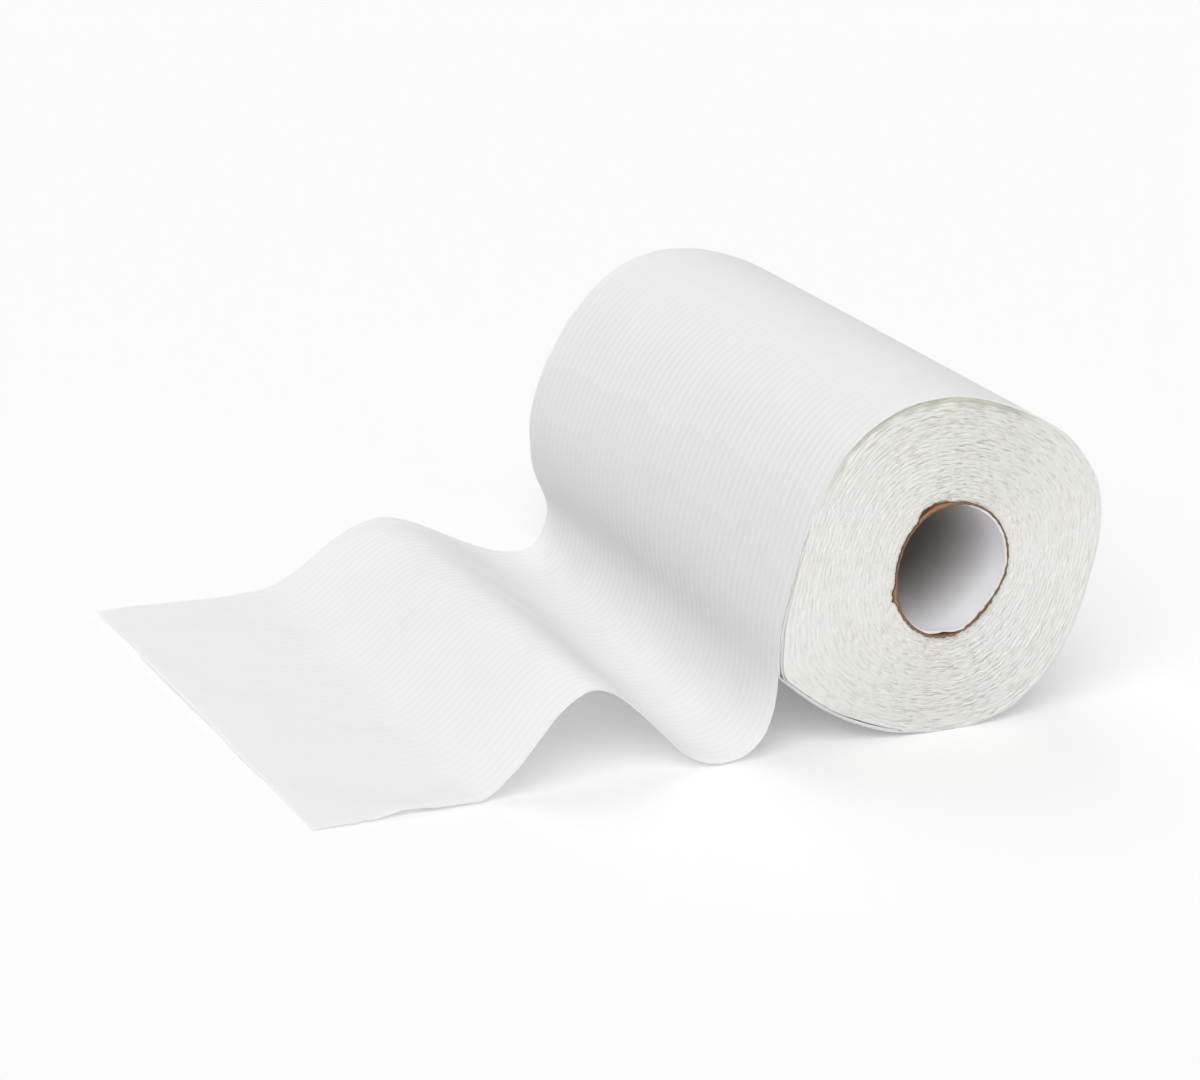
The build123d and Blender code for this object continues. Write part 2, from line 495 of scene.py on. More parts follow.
def onWeb(near, far, along, distance, across):
    # place and outward direction on the web between its near and far lines
    share = np.clip(across / roll["width"] + 0.5, 0, 1)
    place = []
    for line in (near, far, leftOf(near), leftOf(far)):
        place.append([np.interp(distance, along, line[:, i]) for i in (0, 1)])
    spot = np.array(place[0]) * (1 - share) + np.array(place[1]) * share
    outward = np.array(place[2]) * (1 - share) + np.array(place[3]) * share
    return spot, outward / np.hypot(*outward)


def ribValley(along, across, seed, strength):
    # 0 on the crests of the ribs and 1 in the valleys between them
    wander = sheet["ribWander"] * planeNoise(along, across, seed, 70, 180)
    wave = 0.5 + 0.5 * np.cos(2 * math.pi * (across + wander) * sheet["ribCount"] / roll["width"])
    return (1 - wave ** sheet["ribSharpness"]) * strength


def gridFaces(index, step):
    left = index[:, :-step:step]
    right = index[:, step::step]
    return quads(left[:-1], left[1:], right[1:], right[:-1])


def seam(fine, coarse):
    # one face for each coarse step, with every point of the fine row along its other side
    fineAt = np.flatnonzero(fine >= 0)
    coarseAt = np.flatnonzero(coarse >= 0)
    faces = []
    for start, stop in zip(coarseAt[:-1], coarseAt[1:]):
        run = fineAt[(fineAt >= start) & (fineAt <= stop)]
        faces.append(fine[run].tolist() + [int(coarse[stop]), int(coarse[start])])
    return faces


def webFaces(topIndex, underIndex, hiddenFrom, hiddenStep):
    faces = gridFaces(topIndex, 1)
    if hiddenFrom > 1:
        faces += gridFaces(underIndex[:hiddenFrom], sheet["seenStep"])
    faces += gridFaces(underIndex[hiddenFrom:], hiddenStep)
    faces += seam(topIndex[0], underIndex[0])
    faces += seam(topIndex[-1], underIndex[-1])
    if hiddenFrom > 0:
        faces += seam(underIndex[hiddenFrom - 1], underIndex[hiddenFrom])
    for side in (0, -1):
        upper = topIndex[:, side]
        lower = underIndex[:, side]
        faces += quads(upper[:-1], upper[1:], lower[1:], lower[:-1])
    return faces


def makeWeb(name, near, far, stations, hiddenFrom, warp, seed, material):
    # a ribbed strip of paper: where its underside can't be seen, that side has few columns
    along = alongLine(near, far)
    columns = sheet["ribCount"] * sheet["columnsPerRib"]
    width = np.linspace(-halfWidth, halfWidth, columns + 1)
    s, y = np.meshgrid(stations, width, indexing="ij")
    s, y, lift, sprung, ribStrength, hem = warp(s, y)
    spot, outward = onWeb(near, far, along, s, y)
    valley = ribValley(s, y, seed, ribStrength)
    over = sprung - sheet["ribDepth"] * valley
    hemFrom, hemTo = sheet["hem"]
    atSide = smoothStep(halfWidth - hemFrom, halfWidth - hemTo, np.abs(y))
    filled = roll["layer"] - sheet["turnGap"] - sheet["paper"] - sheet["ribDepth"] * valley
    under = over - sheet["paper"] - hem * atSide * filled
    top = np.stack([spot[0] + outward[0] * over, y, spot[1] + outward[1] * over + lift], axis=-1)
    bottom = np.stack([spot[0] + outward[0] * under, y, spot[1] + outward[1] * under + lift], axis=-1)

    hiddenStep = columns // sheet["hiddenSpans"]
    topIndex = np.arange(s.size).reshape(s.shape)
    keep = np.zeros(s.shape, dtype=bool)
    keep[:hiddenFrom, :: sheet["seenStep"]] = True
    keep[hiddenFrom:, ::hiddenStep] = True
    underIndex = np.full(s.shape, -1)
    underIndex[keep] = s.size + np.arange(keep.sum())
    faces = webFaces(topIndex, underIndex, hiddenFrom, hiddenStep)

    points = np.concatenate([top.reshape(-1, 3), bottom[keep]])
    flat = np.stack([s, y, 0 * s], axis=-1)
    underFlat = flat[keep] + (0, 0, sheet["undersideShift"])
    marks = {"flatPlace": np.concatenate([flat.reshape(-1, 3), underFlat])}
    for label, mark in (("edge", np.minimum(halfWidth - np.abs(y), s)), ("valley", valley)):
        marks[label] = np.concatenate([mark.ravel(), mark[keep]])
    return makePiece(name, points, faces, marks, material)


def makeTowelMaterial():
    material, tree, shader = newMaterial("towelPaper", sheet["roughness"], sheet["gloss"])
    place = attribute(tree, "flatPlace", "Vector")
    grain = placeGroup(tree, paperGrain, {"Place": place, **sheet["grain"]})
    # painted highlight near the edges, where the paper also passes on less light so that it looks
    # brighter still
    nearEdge = spread(tree, attribute(tree, "edge"), 0.0, sheet["edgeWidth"], 1.0, 0.0)
    layers = [
        (grain.outputs["Cloud"], sheet["shade"]),
        # painted shade in the rib valleys
        (attribute(tree, "valley"), sheet["valleyShadeColour"]),
        (nearEdge, sheet["edgeHighlight"]),
    ]
    colour = paint(tree, shader, sheet["colour"], layers, grain.outputs["Height"])
    through = addNode(tree, "ShaderNodeBsdfTranslucent", {"Color": colour})
    share = spread(tree, nearEdge, 0.0, 1.0, sheet["lightThrough"], 0.0)
    both = addNode(tree, "ShaderNodeMixShader", {0: share, 1: shader.outputs[0], 2: through.outputs[0]})
    tree.links.new(both.outputs[0], tree.nodes["Material Output"].inputs["Surface"])
    return material


towelPaper = makeTowelMaterial()

# how unevenly the sheet is torn at its cut end and along its sides
tears = {
    "mean": 0.3,
    "cutFine": 0.05,
    "cutBroad": 0.18,
    "cutNicks": [(69.0, 0.5, 1.6), (40.0, 0.3, 1.2)],  # (place across, depth, half span)
    "cutSteps": [(0.9, 52.0, 60.0), (-0.5, 80.0, 95.0)],  # (depth, from, to)
    "cutReach": 9.0,  # all this fades over this length from the cut
    "sideBroad": 0.2,
    "sideReach": 5.0,
    "raggedSpots": [(20.0, 14.0), (66.0, 7.0)],  # on the near side: (place along, half span)
    "raggedMean": 0.3,
    "raggedFine": 0.4,
}


def tornEdges(s, y):
    cutIn = tears["mean"] + tears["cutFine"] * lineNoise(y, 11, 2.5, 7)
    cutIn = cutIn + tears["cutBroad"] * lineNoise(y, 12, 25, 80)
    for place, depth, halfSpan in tears["cutNicks"]:
        cutIn = cutIn + depth * bump(y, place, halfSpan)
    for depth, start, stop in tears["cutSteps"]:
        cutIn = cutIn + depth * smoothStep(start, stop, y)
    s = s + (1 - smoothStep(0, tears["cutReach"], s)) * np.maximum(cutIn, 0)
    ragged = sum(bump(s, place, halfSpan) for place, halfSpan in tears["raggedSpots"])
    nearIn = tears["mean"] + tears["sideBroad"] * lineNoise(s, 13, 6, 40)
    nearIn = nearIn + ragged * (tears["raggedMean"] + tears["raggedFine"] * lineNoise(s, 14, 2.5, 6))
    farIn = tears["mean"] + tears["sideBroad"] * lineNoise(s, 15, 6, 40)
    nearSide = bump(y, -halfWidth, tears["sideReach"])
    farSide = bump(y, halfWidth, tears["sideReach"])
    return s, y + nearSide * np.maximum(nearIn, 0) - farSide * np.maximum(farIn, 0)


# how the free sheet stands a little off its smooth line
drape = {
    "wave": 0.35,
    "waveMean": 0.6,
    "waveMost": 2.5,
    "crinkle": 0.06,
    "crinkleMost": 3.0,
    "fromCut": 14.0,  # the waves set in over this length
    "fade": 30.0,  # and fade over this one
    "nearLifts": [(34.0, 1.4, 9.0), (71.0, 0.9, 5.0)],  # near edge: (place along, height, half span)
    "nearReach": 16.0,
    "cutLift": 1.2,
    "cutMean": 0.55,  # the cut edge stands up by this share of it
    "cutSwing": 0.45,  # give or take this one
    "cutHalfWave": 110.0,
    "cutPhase": 0.4,
    "cutFade": 16.0,
    "cutRounding": 0.5,
    "cutRoundingSpan": 1.6,
    "hemGrows": 10.0,
}


def sheetLift(s, y, bounds):
    free = 1 - smoothStep(bounds["wave"] - drape["fade"], bounds["wave"], s)
    free = free * smoothStep(0, drape["fromCut"], s)
    lying = 1 - smoothStep(bounds["flat"], bounds["flat"] + drape["fade"], s)
    waves = np.clip(drape["waveMean"] + planeNoise(s, y, 21, 35, 90), 0, drape["waveMost"])
    crinkles = np.clip(1 + planeNoise(s, y, 22, 9, 22), 0, drape["crinkleMost"])
    lift = free * drape["wave"] * waves + lying * free * drape["crinkle"] * crinkles
    nearSide = smoothStep(-halfWidth + drape["nearReach"], -halfWidth, y)
    nearLift = sum(height * bump(s, place, halfSpan) for place, height, halfSpan in drape["nearLifts"])
    cutSwing = drape["cutSwing"] * np.cos(math.pi * y / drape["cutHalfWave"] - drape["cutPhase"])
    atCut = drape["cutLift"] * np.exp(-s / drape["cutFade"])
    rounding = drape["cutRounding"] * np.clip(1 - s / drape["cutRoundingSpan"], 0, 1) ** 2
    return lift + nearSide * nearLift + atCut * (drape["cutMean"] + cutSwing) - rounding


def ribGrowth(s, bounds):
    strength = sheet["ribsAtCut"]
    for part, share, start, stop in sheet["ribGrowth"]:
        end = bounds.get(part, 0.0)
        strength = strength + share * smoothStep(end + start, end + stop, s)
    leftSide, leftTop, rightTop, rightSide = bounds["top"]
    onTop = smoothStep(leftSide, leftTop, s) * (1 - smoothStep(rightTop, rightSide, s))
    return strength * (1 - sheet["smoothTop"] * onTop)


def sheetWarp(bounds):
    def warp(s, y):
        s, y = tornEdges(s, y)
        hem = smoothStep(bounds["loose"], bounds["loose"] + drape["hemGrows"], s)
        return s, y, sheetLift(s, y, bounds), 0 * s, ribGrowth(s, bounds), hem

    return warp


def makeSheet():
    nearParts = sheetLine(sheet["near"])
    farParts = sheetLine(sheet["far"])
    near = np.concatenate(list(nearParts.values()))
    far = np.concatenate(list(farParts.values()))
    along = alongLine(near, far)
    ends = np.cumsum([len(part) for part in nearParts.values()]) - 1
    bounds = dict(zip(nearParts, along[ends]))
    wholeTurn = roll["joinAngle"] - roll["slackAngle"] + 360
    turned = (roll["joinAngle"] - np.array(sheet["smoothAngles"])) / wholeTurn
    onTop = bounds["loose"] + turned * (bounds["round"] - bounds["loose"])
    stations = [np.array([0.0])]
    start = 0.0
    for name, finish in [("cut", sheet["cutRows"]), ("torn", sheet["tornRows"]), *bounds.items()]:
        count = math.ceil((finish - start) / sheet["rowSteps"][name])
        stations.append(np.linspace(start, finish, count + 1)[1:])
        start = finish
    stations = np.concatenate(stations)
    hiddenFrom = int(np.searchsorted(stations, bounds["loose"])) + 1
    bounds["top"] = onTop
    piece = makeWeb("towel_sheet", near, far, stations, hiddenFrom, sheetWarp(bounds), 31, towelPaper)
    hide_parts("towel_web")


makeSheet()

# the turns under the loose one have sprung from the roll too, and each stays near the one outside it
# at the near end their edges keep to heights of their own

underTurn = {
    "start": 256.0,
    "stop": 159.0,
    "rowStep": 2.6,
    "tuck": 0.66,  # how far it lies under the rim where the outer turn covers it
    "tuckFade": 6.0,
    "clear": 0.1,
    "edgeReach": 5.0,  # length from the near end over which the edges go to their own heights
    "edgeLowest": -0.65,
    "nearIn": 0.35,  # how far its side edges lie in
    "nearUneven": 0.15,
    "farIn": 0.4,
}

# the edge of the second turn at the near end: (angle, height over the rim)
secondEdge = [
    (165, 0.4), (186, 1.4), (193, 2.4), (197, 3.4), (200, 4.3), (204, 5.6), (207, 6.2), (252, 6.2),
]


def roomAt(angle, y):
    # height over the rim of the space under the loose turns
    rooms = []
    for end in (sheet["near"], sheet["far"]):
        above = looseRadius(end, angle) - 2 * roll["layer"]
        below = saggingRadius(end, angle) - roll["layer"]
        rooms.append(np.where(angle < end["leaveAngle"], above, below) - rim(angle))
    share = y / roll["width"] + 0.5
    room = rooms[0] * (1 - share) + rooms[1] * share
    return np.where((angle > roll["joinAngle"]) & (angle < roll["slackAngle"]), room, -roll["layer"])


def secondAtEdge(angle):
    room = np.maximum(roomAt(angle, -halfWidth), underTurn["edgeLowest"])
    return np.minimum(ringCurve(angle, secondEdge, 2), room)


def sprungDeep(angle, y):
    return np.clip(roomAt(angle, y) - underTurn["clear"], 0, None)


def makeUnderTurn():
    angles = np.linspace(underTurn["start"], underTurn["stop"], 400)
    line = polar(angles, rim(angles))
    along = alongLine(line, line)
    stations = np.linspace(0, along[-1], math.ceil(along[-1] / underTurn["rowStep"]) + 1)

    def warp(s, y):
        angle = np.interp(s, along, angles)
        covered = 1 - window(angle, roll["joinAngle"], roll["slackAngle"], underTurn["tuckFade"])
        inside = smoothStep(-halfWidth, -halfWidth + underTurn["edgeReach"], y)
        deep = sprungDeep(angle, y) - underTurn["tuck"] * covered
        sprung = secondAtEdge(angle) * (1 - inside) + deep * inside
        nearSide = bump(y, -halfWidth, tears["sideReach"])
        farSide = bump(y, halfWidth, tears["sideReach"])
        nearIn = underTurn["nearIn"] + underTurn["nearUneven"] * lineNoise(s, 41, 6, 30)
        y = y + nearSide * nearIn - underTurn["farIn"] * farSide
        return s, y, 0 * s, sprung, 1 + 0 * s, 1 + 0 * s

    makeWeb("second_turn", line, line, stations, 0, warp, 42, towelPaper)


makeUnderTurn()

# the wound paper inside the outer turn: each end shows the edges of its turns

turns = {
    "count": 24,
    "columns": 520,
    "coreGap": 0.05,
    "under": 0.64,  # the outer turn's thickness
    "underSecond": 1.3,
    "underSecondEdge": 0.72,  # how far its edge stays under the second turn's
    "underSecondDeep": 0.8,
    "underMargin": 2.0,  # the wall steps down this many degrees before the second turn's ends
    "underFade": 4.0,
    "groove": 0.08,  # width of the line between two turns
    "grooveDepth": 0.12,
    # painted shade in the line between two turns
    "grooveShade": 0.15,
    "edgeRound": 0.12,
    "gap": 0.2,  # width of the openings that the turns' waves leave between them
    "gapDepth": 0.45,
    "gapRound": 0.15,
    # painted shade in the openings, and less on their sides
    "gapShade": 0.7,
    "gapSideShade": 0.3,
    "gapSpacing": 6.0,
    "gapWander": 0.16,
    "gapJitter": 0.07,
    "gapShift": 0.15,
    "gapWeakness": 1.5,
    "gapSharpness": (0.6, 1.8),
    "gapZones": [(84, 50), (279, 52)],  # the turns stand apart most here: (angle, half span)
    "gapElsewhere": 0.2,
    "gapInZone": 0.85,
    "wave": 0.14,
    "uneven": 0.055,
    "ripple": 0.08,
    "bandFrom": (54, 72),  # the outermost turns of the near end lie back over these angles, and are painted with shade
    "bandTo": (128, 158),
    "bandSetBack": 0.9,
    "bandReach": (2.4, 0.2),  # from this far under the rim to this far
    # painted shade along the band, full within the second distance under the rim and gone by the first
    "bandShadeReach": (2.6, 1.3),
    "dashLength": 4.4,  # fine dashes lie along the turns, at half the radius this long
    "dashesPerTurn": 3.4,
    "dashHeight": 0.7,
    "dashNoise": (1.0, 1.0, 0.5),  # scale, detail and roughness
    # the dashes are painted with shade and highlights from these ranges of the noise
    "dashShadeRange": (0.4, 0.32),
    "dashHighlightRange": (0.56, 0.64),
    "leastLively": 0.12,  # amount of the dashes outside the zones
    "wallRows": (-98.8, -97.4, -96, -94.4, -92.6, -90.5, -88, -84, -60, 0, 60, 97),
    "wallShade": (-84, -92),  # nearer than this the wall is darker in the slit under the slack turn
    "wallShadeAt": (228, 16),
    "boreRows": (97, 40, 0, -40, -60, -75, -86, -95),
    "colour": (0.96, 0.947, 0.893, 1),
    "paler": (0.96, 0.96, 0.943, 1),
    # painted shade in the lines, openings and slit between turns, in the dashes and along the band; the
    # highlight is painted on the dashes
    "gapShadeColour": (0.72, 0.69, 0.6, 1),
    "dashShadeColour": (0.72, 0.69, 0.6, 1),
    "highlight": (0.98, 0.975, 0.955, 1),
    "bandShadeColour": (0.72, 0.71, 0.62, 1),
    "roughness": 0.95,
    "gloss": 0.2,
    "grain": {"Crepe Depth": 0.1, "Fibre Depth": 0.16, "Crepe Spacing": 2.2},
}

# the wound paper's outer edge at the near end, under the slack turns: (angle, height over the rim)
slackEdge = [
    (165, -1.3), (173, -1.4), (180, -0.7), (186, 0.4), (193, 1.6), (198, 2.8), (204, 4.6),
    (207, 5.2), (210, 4.6), (213, 3.1), (216, 1.85), (219, 1.0), (223, 0.15), (227, -0.5),
    (233, -1.2), (240, -1.65), (247, -1.5), (255, -1.3),
]

# the mouth of the core is a little out of round at its near end: (angle, offset)
coreMouth = [
    (0, 0.2), (22, 0.25), (52, 0.45), (85, 0.5), (105, 0.2), (124, -0.3), (143, -1.2),
    (161, -2.1), (188, -2.4), (206, -1.4), (230, -0.4), (248, 0.4), (274, 0.8), (287, 0.9),
    (307, 0.0), (326, -0.9), (344, -0.3),
]
mouthDepth = 24.0  # the offset fades over this depth


def mouth(angle, y):
    return ringCurve(angle, coreMouth) * np.exp(-(y + halfWidth) / mouthDepth)


def outerRadius(angle, y):
    margin = turns["underMargin"]
    stop = underTurn["stop"]
    start = underTurn["start"]
    second = window(angle, stop - margin, start + margin, turns["underFade"])
    tucked = -turns["under"] - (turns["underSecond"] - turns["under"]) * second
    slack = window(angle, stop + margin, start - margin, turns["underFade"])
    edge = np.minimum(ringCurve(angle, slackEdge, 2), secondAtEdge(angle) - turns["underSecondEdge"])
    atEdge = tucked + (edge - tucked) * slack
    free = np.clip(sprungDeep(angle, y) - turns["underSecondDeep"] - tucked, 0, None)
    deep = tucked + free * slack
    inside = smoothStep(-halfWidth, -halfWidth + underTurn["edgeReach"], y)
    return rim(angle) + atEdge * (1 - inside) + deep * inside


def gapsAt(angle, k, radius, seed):
    # the openings between turn k and the next, as a strength from 0 to 1, and the turns' wave
    dice = np.random.default_rng(seed * 100 + k)
    number = round(2 * math.pi * radius / turns["gapSpacing"])
    phase = number * angle / 360 + 0.5 * k + turns["gapWander"] * ringNoise(angle, seed * 7 + k, 3, 12)
    phase = phase + turns["gapJitter"] * ringNoise(angle, seed * 9 + k, 20, 40)
    phase = phase + dice.uniform(-turns["gapShift"], turns["gapShift"])
    strengths = dice.uniform(0.0, 1.0, number) ** turns["gapWeakness"]
    sharpness = dice.uniform(*turns["gapSharpness"], number)
    cell = np.floor(phase + 0.5).astype(int) % number
    wave = np.cos(2 * math.pi * phase)
    return np.clip(wave, 0, 1) ** sharpness[cell] * strengths[cell], wave


def gapZone(angle):
    zone = np.max([ringBump(angle, middle, halfSpan) for middle, halfSpan in turns["gapZones"]], axis=0)
    return np.clip(turns["gapElsewhere"] + turns["gapInZone"] * zone, 0, 1)


def faceRows(angle, y0, away, seed):
    # rings from the core to the rim with their marks, away is -1 at the near end and +1 at the far end
    count = turns["count"]
    inner = roll["coreRadius"] + turns["coreGap"] + mouth(angle, y0 + 0 * angle)
    outer = outerRadius(angle, y0 + 0 * angle)
    usual = rim(angle) - turns["under"]
    edges = []
    for k in range(count + 1):
        # only the last few turns follow the slack edge
        radius = inner + (usual - inner) * k / count + (outer - usual) * (k / count) ** 6
        gap, wave = gapsAt(angle, k, float(radius.mean()), seed)
        zone = gapZone(angle) if 0 < k < count else 0
        edges.append((radius + turns["wave"] * zone * wave, gap * zone))
    standingApart = 0.3 + 0.7 * gapZone(angle)  # the turns stand apart less clearly at the sides
    band = smoothStep(*turns["bandFrom"], angle) * (1 - smoothStep(*turns["bandTo"], angle))
    band = band if away < 0 else 0 * angle
    ragged = 0.8 + 0.2 * ringNoise(angle, 61, 6, 30)

    def ring(radius, depth, gap, turn):
        setBack = turns["bandSetBack"] * band * smoothStep(*turns["bandReach"], outer - radius) * ragged
        # along the band the turns are painted with shade near the rim
        inBand = outer - radius + 0.3 * ringNoise(angle, 62, 8, 40)
        shadeTint = band * smoothStep(*turns["bandShadeReach"], inBand)
        return radius, y0 - away * (depth + setBack), gap, shadeTint, turn

    rings = []
    for k in range(count):
        (low, lowGap), (high, highGap) = edges[k], edges[k + 1]
        sway = 0.9 + 0.7 * ringNoise(angle, seed + k, 1, 5) + 0.5 * math.sin(2.4 * k)
        ripple = turns["ripple"] * ringNoise(angle, seed + 30 + k, 25, 60)
        level = np.clip(turns["uneven"] * sway + ripple, 0, 1)
        start = low + (turns["groove"] + turns["gap"] * lowGap) / 2
        stop = high - (turns["groove"] + turns["gap"] * highGap) / 2
        span = stop - start
        if away < 0:
            edge = level + turns["edgeRound"] * standingApart
            # the sides of an opening get a little painted shade
            sideShade = turns["gapSideShade"]
            rings.append(ring(start, edge + turns["gapRound"] * lowGap, sideShade * lowGap, k + 0.1))
            rings.append(ring(start + 0.25 * span, level, 0, k + 0.3))
            rings.append(ring(stop - 0.3 * span, level + 0.06 * highGap, 0, k + 0.7))
            rings.append(ring(stop, edge + turns["gapRound"] * highGap, sideShade * highGap, k + 0.9))
        else:
            rings.append(ring(start + 0.5 * span, level, 0, k + 0.5))
        if k < count - 1:
            groove = turns["grooveDepth"] * standingApart + level + turns["gapDepth"] * highGap
            # painted shade in the line between two turns, more in an opening
            shadeTint = turns["grooveShade"] * standingApart + turns["gapShade"] * highGap
            rings.append(ring(high, groove, shadeTint, k + 1.0))
    return rings


def dashesGroup():
    # short dashes along the turns, where the crinkled plies touch and part: a bump, with painted shade
    # where they part and painted highlights beside them
    inputs = {"Turn": 0.0, "Amount": 1.0}
    tree, given, result = newGroup("dashes", inputs, ("Height", "Shade", "Light"))
    amount = given.outputs["Amount"]
    fromAxis = vectorNode(tree, "SUBTRACT", given.outputs["Place"], (0, 0, centreHeight))
    outward = vectorNode(tree, "NORMALIZE", vectorNode(tree, "MULTIPLY", fromAxis, (1, 0, 1)))
    rate = (roll["coreRadius"] + roll["radius"]) / 2 / turns["dashLength"]
    along = vectorNode(tree, "MULTIPLY", outward, (rate, rate, rate))
    across = mathNode(tree, "MULTIPLY", given.outputs["Turn"], turns["dashesPerTurn"])
    lifted = addNode(tree, "ShaderNodeCombineXYZ", {"Y": across}).outputs[0]
    streak = noise(tree, vectorNode(tree, "ADD", along, lifted), *turns["dashNoise"])
    values = {
        "Height": mathNode(tree, "MULTIPLY", streak, amount),
        "Shade": mathNode(tree, "MULTIPLY", spread(tree, streak, *turns["dashShadeRange"]), amount),
        "Light": mathNode(tree, "MULTIPLY", spread(tree, streak, *turns["dashHighlightRange"]), amount),
    }
    putOut(tree, result, values)
    return tree


def makeTurnMaterial():
    material, tree, shader = newMaterial("turnEdges", turns["roughness"], turns["gloss"])
    place = objectPlace(tree)
    grain = placeGroup(tree, paperGrain, {"Place": place, **turns["grain"]})
    dashInputs = {"Place": place, "Turn": attribute(tree, "turn"), "Amount": attribute(tree, "lively")}
    dash = placeGroup(tree, dashesGroup(), dashInputs)
    # over the cloudy grain: painted highlights and painted shade of the dashes, painted shade in the
    # lines, openings and slit, and along the band
    layers = [
        (grain.outputs["Cloud"], turns["paler"]),
        (dash.outputs["Light"], turns["highlight"]),
        (attribute(tree, "gap"), turns["gapShadeColour"]),
        (dash.outputs["Shade"], turns["dashShadeColour"]),
        (attribute(tree, "band"), turns["bandShadeColour"]),
    ]
    dashHeight = mathNode(tree, "MULTIPLY", dash.outputs["Height"], turns["dashHeight"])
    height = mathNode(tree, "ADD", grain.outputs["Height"], dashHeight)
    paint(tree, shader, turns["colour"], layers, height)
    return material


def makeWoundTurns():
    angle = np.arange(turns["columns"]) * 360.0 / turns["columns"]
    rings = faceRows(angle, -halfWidth, -1, 51)
    for y in turns["wallRows"]:
        shade = smoothStep(*turns["wallShade"], y) * ringBump(angle, *turns["wallShadeAt"])
        rings.append((outerRadius(angle, y + 0 * angle), y, shade, 0, turns["count"]))
    rings += faceRows(angle, halfWidth, 1, 71)[::-1]
    for y in turns["boreRows"]:
        bore = roll["coreRadius"] + turns["coreGap"] + mouth(angle, y + 0 * angle)
        rings.append((bore, y, 0, 0, 0))
    marks = {}
    for i, name in ((2, "gap"), (3, "band"), (4, "turn")):
        marks[name] = np.array([ring[i] + 0 * angle for ring in rings]).ravel()
    lively = turns["leastLively"] + (1 - turns["leastLively"]) * gapZone(angle)
    marks["lively"] = np.tile(lively, len(rings))
    piece = makeRing("wound_turns", angle, rings, marks, makeTurnMaterial())
    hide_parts("towel_web")


makeWoundTurns()

# the cardboard core: brown kraft with a white liner in its bore, both torn a little at the near mouth

core = {
    "columns": 360,
    "plyGap": 0.02,  # between each ply and the face where they meet
    "proud": 0.45,  # how far the core stands out of the near end
    "linerBack": 0.1,  # how far its edge lies behind the kraft's
    "outsideRows": (halfWidth, 50, 0, -50, -75, -88, -96),
    "kraftInsideRows": (-96, -88, -75, -50, 0, 50, halfWidth),
    "linerInsideRows": (-94, -85, -75, -50, -25, 0, 50, halfWidth),
    "kraftTorn": 0.12,
    "kraftUneven": 0.14,
    "linerTorn": 0.1,
    "linerUneven": 0.05,
    "linerTornBack": 0.9,
    "linerShownFrom": 0.15,  # the liner's edge shows where its lip reaches in further than this
    "linerShownSpan": 0.25,
    "linerCurl": (0.9, 270, 9),  # it has come away from the kraft here: (distance, angle, half span)
    "overLiner": 0.2,
    "foldFrom": 0.4,  # a lip that reaches further out than this shows its folded inside
    "darkLip": (0.45, 0.55, 117, 9),  # the lip's edge is dark, partly the board's own torn edge and partly painted shade, the most at this angle
    "kraftColour": (0.34, 0.205, 0.115, 1),
    # the board's own dark flecks and torn edge, and painted shade on the lip's edge
    "kraftDarkAndShade": (0.06, 0.03, 0.017, 1),
    "kraftFold": (0.5, 0.26, 0.115, 1),
    "kraftRoughness": 0.85,
    "kraftGloss": 0.3,
    "kraftGrain": {"Crepe Depth": 0.12, "Fibre Depth": 0.15, "Crepe Spacing": 0.9},
    "linerColour": (0.955, 0.945, 0.975, 1),
    "linerDuller": (0.915, 0.905, 0.93, 1),
    "linerDeepShade": (0.5, 0.48, 0.44, 1),
    "linerDeepShadeAt": (-92.0, -52.0),  # painted shade: the bore darkens from the first depth to the second
    "linerPale": (0.93, 0.925, 0.92, 1),
    "linerRoughness": 0.7,
    "linerGloss": 0.35,
    "linerGrain": {"Crepe Depth": 0.04, "Fibre Depth": 0.05, "Crepe Spacing": 3.0},
}

# how far the torn kraft lip folds out over the paper: (angle, reach)
kraftFlap = [
    (0, 0.15), (40, 0.1), (80, 0.15), (92, 0.5), (99, 1.4), (110, 2.3), (118, 2.4), (123, 1.9),
    (126, 0.2), (160, 0.1), (188, 0.2), (193, 1.2), (203, 1.8), (207, 0.3), (240, 0.2),
    (262, 0.6), (285, 0.5), (300, 0.15), (330, 0.3),
]

# how far the torn liner stands into the bore: (angle, reach)
linerLip = [
    (0, 0.5), (50, 0.45), (85, 0.15), (120, 0.05), (220, 0.05), (250, 0.3), (260, 0.9),
    (272, 1.2), (284, 0.6), (305, 0.2), (340, 0.45),
]


def coreRow(angle, radius, y):
    return radius + mouth(angle, y + 0 * angle), y


def lipRows(angle, lip, torn):
    return [(coreRow(angle, radius, y)[0], y + torn) for radius, y in lip]


def lipMark(angle, outer, values, inner):
    # a mark on the rows of the lip only
    rows = [0] * len(outer) + values + [0] * len(inner)
    return np.array([row + 0 * angle for row in rows]).ravel()


def linerShown(angle):
    reach = ringCurve(angle, linerLip, 6)
    return np.clip((reach - core["linerShownFrom"]) / core["linerShownSpan"], 0, 1)


def overLiner(angle):
    # where the liner is torn back, the kraft's edge covers it
    return core["overLiner"] * (1 - linerShown(angle))


def makeKraftMaterial():
    material, tree, shader = newMaterial("kraftBoard", core["kraftRoughness"], core["kraftGloss"])
    grain = placeGroup(tree, paperGrain, {"Place": objectPlace(tree), **core["kraftGrain"]})
    layers = [
        (grain.outputs["Fleck"], core["kraftDarkAndShade"]),
        (attribute(tree, "fold"), core["kraftFold"]),
        # the lip's dark edges: the board's own torn edge, partly painted shade
        (attribute(tree, "dark"), core["kraftDarkAndShade"]),
    ]
    paint(tree, shader, core["kraftColour"], layers, grain.outputs["Height"])
    return material


